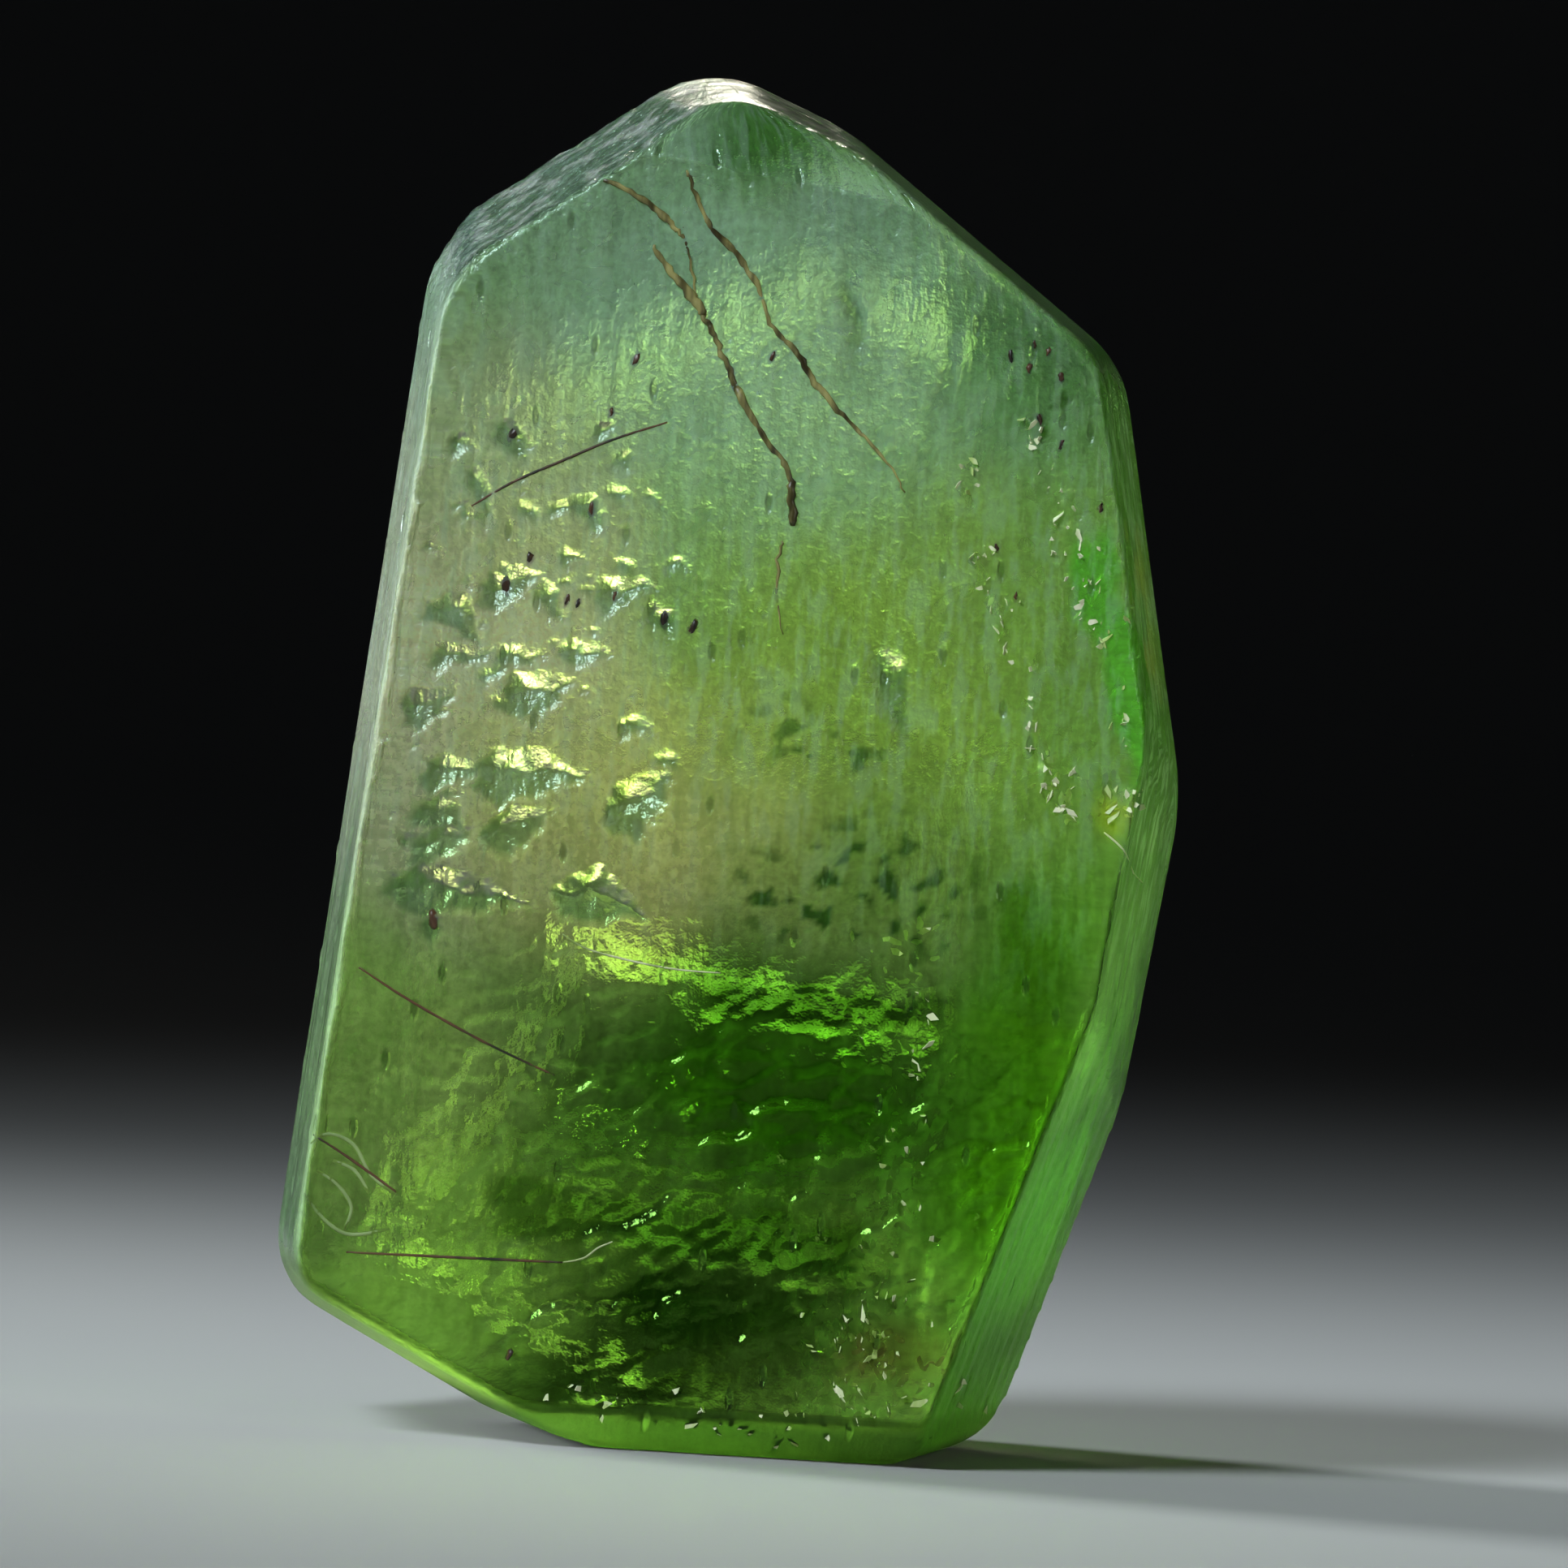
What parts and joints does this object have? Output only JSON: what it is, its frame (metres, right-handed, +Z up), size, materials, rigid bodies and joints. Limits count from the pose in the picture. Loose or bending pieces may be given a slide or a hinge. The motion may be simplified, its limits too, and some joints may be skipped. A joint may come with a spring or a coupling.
{
  "type": "peridot crystal",
  "caption": "Loose tabular olivine crystal with a blunt pointed end, flat prism faces, etch pits and growth ledges, standing on its flat broken base.",
  "frame": {"origin": "on the flat base, under the middle of the crystal's box", "axes": "+Z up along the crystal's length, front face towards -Y, thickness along Y"},
  "size_m": [0.0268, 0.0188, 0.0416],
  "materials": {
    "peridot": "see-through yellow-green, etched satin skin with clearer windows, frosted along the worn edges"
  },
  "bodies": {
    "root": {"crystal": "peridot"}
  },
  "joints": []
}
